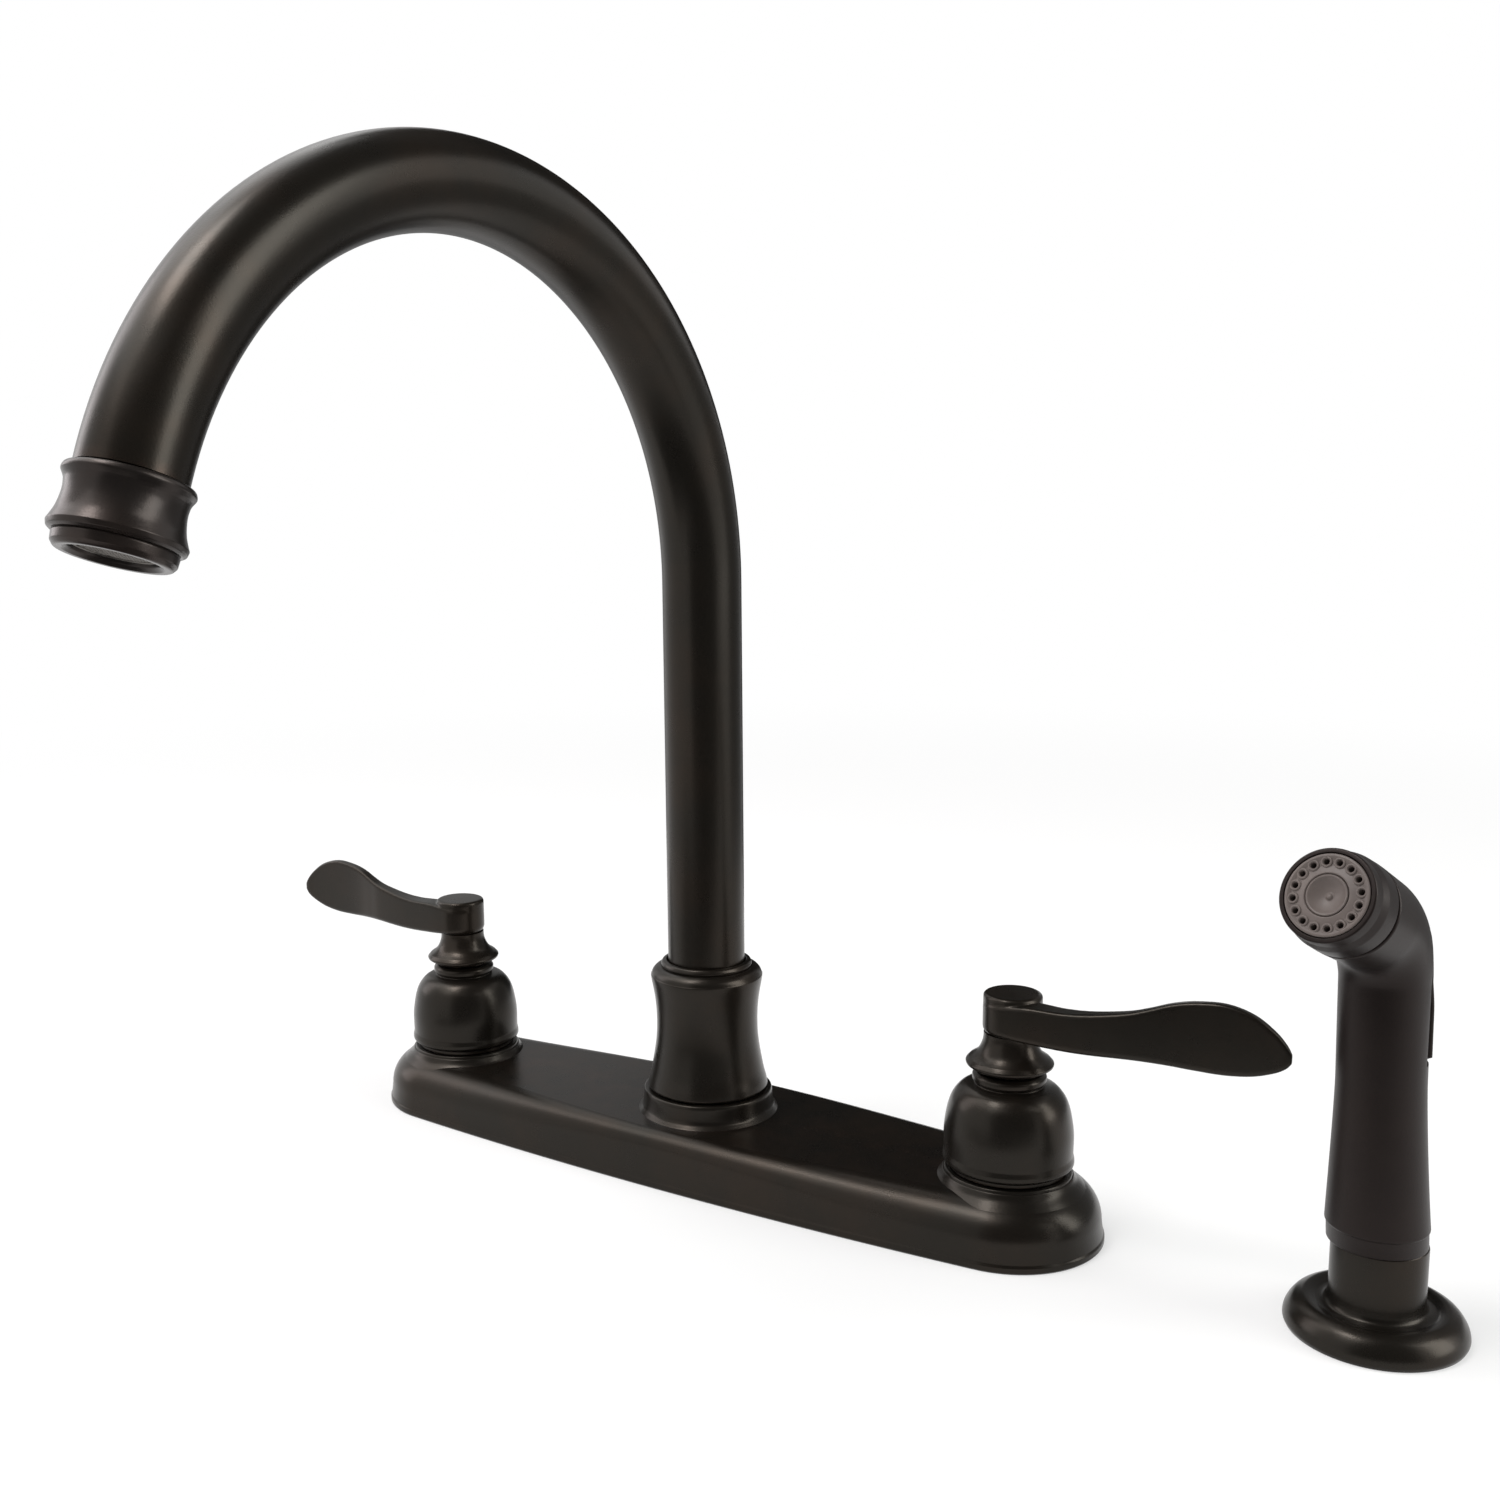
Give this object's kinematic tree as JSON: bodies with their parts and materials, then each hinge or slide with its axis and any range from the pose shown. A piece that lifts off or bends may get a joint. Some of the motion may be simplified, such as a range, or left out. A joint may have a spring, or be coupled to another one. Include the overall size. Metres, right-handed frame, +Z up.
{
  "type": "two handle kitchen faucet",
  "caption": "Deck-mounted kitchen faucet: a high swivelling gooseneck spout between lever handles on a long deck plate, with a side sprayer that lifts out of its own holder.",
  "frame": {"origin": "on the sink deck under the spout's swivel axis, which is also the middle of the deck plate's underside", "axes": "+Z up along the spout's swivel axis, +X towards the right-hand valve and the sprayer, -Y over the sink, the way the spout points"},
  "size_m": [0.401, 0.2501, 0.3509],
  "materials": {
    "bronze": "satin oil-rubbed bronze over brass",
    "bronze_tip": "satin oil-rubbed bronze, a little lighter",
    "spray_plastic": "satin dark brown",
    "face_plastic": "satin brown-grey",
    "brass": "machined",
    "steel": "plain",
    "rubber": "matt",
    "nylon": "matt",
    "ceramic": "polished",
    "black_plastic": "matt"
  },
  "bodies": {
    "base": {"deck_plate": "bronze", "plate_gasket": "rubber", "waterway_casting": "brass", "spray_outlet": "brass", "spray_outlet_nut": "brass", "spout_post": "brass", "lower_sealing_ring": "rubber", "upper_sealing_ring": "rubber", "diverter_valve": "nylon", "thrust_washer": "nylon", "spout_hub": "bronze", "hub_cap_ring": "bronze", "left_supply_shank": "brass", "left_shank_washer": "steel", "left_shank_nut": "black_plastic", "left_bonnet": "bronze", "left_clamp_nut": "brass", "left_cartridge_seal": "rubber", "left_cartridge_sleeve": "brass", "left_fixed_disc": "ceramic", "right_supply_shank": "brass", "right_shank_washer": "steel", "right_shank_nut": "black_plastic", "right_bonnet": "bronze", "right_clamp_nut": "brass", "right_cartridge_seal": "rubber", "right_cartridge_sleeve": "brass", "right_fixed_disc": "ceramic", "holder_body": "bronze", "holder_gasket": "rubber", "holder_nut": "black_plastic"},
    "spout": {"gooseneck_tube": "bronze", "swivel_sleeve": "nylon", "keeper_ring": "steel", "spout_tip": "bronze_tip", "aerator_housing": "bronze_tip", "aerator_insert": "face_plastic", "aerator_screen": "steel"},
    "left_handle": {"left_turning_disc": "ceramic", "left_lever_stem": "brass", "left_lever_skirt": "bronze", "left_lever": "bronze", "left_set_screw": "steel"},
    "right_handle": {"right_turning_disc": "ceramic", "right_lever_stem": "brass", "right_lever_skirt": "bronze", "right_lever": "bronze", "right_set_screw": "steel"},
    "sprayer": {"sprayer_grip": "spray_plastic", "hose_coupling": "brass", "water_tube": "nylon", "trigger_pin": "steel", "valve_body": "black_plastic", "plunger_spring": "steel", "sprayer_nose": "spray_plastic", "spray_face": "face_plastic", "face_screw": "face_plastic"},
    "trigger": {"trigger": "spray_plastic"},
    "plunger": {"valve_plunger": "brass"}
  },
  "joints": [
    {"name": "spout_swivel", "type": "hinge", "parent": "base", "child": "spout", "pos_m": [0, 0, 0.05], "axis": [0, 0, 1], "continuous": true},
    {"name": "left_lever_turn", "type": "hinge", "parent": "base", "child": "left_handle", "pos_m": [-0.1016, 0, 0.05], "axis": [0, 0, 1], "range_deg": [0, 90]},
    {"name": "right_lever_turn", "type": "hinge", "parent": "base", "child": "right_handle", "pos_m": [0.1016, 0, 0.05], "axis": [0, 0, -1], "range_deg": [0, 90]},
    {"name": "sprayer_lift", "type": "slide", "parent": "base", "child": "sprayer", "axis": [0, 0, 1], "range_m": [0, 0.06]},
    {"name": "trigger_squeeze", "type": "hinge", "parent": "sprayer", "child": "trigger", "pos_m": [0.19912, -0.01017, 0.11271], "axis": [-0.9724, 0.2334, 0], "range_deg": [0, 4], "stiffness_Nm_per_rad": 1, "springref_deg": -1.15},
    {"name": "plunger_press", "type": "slide", "parent": "sprayer", "child": "plunger", "axis": [-0.2334, -0.9724, 0], "range_m": [0, 0.0024], "deforming": ["plunger_spring"]}
  ],
  "couplings": [
    {"joint": "plunger_press", "follows": "trigger_squeeze", "m_per_rad": 0.0302}
  ]
}
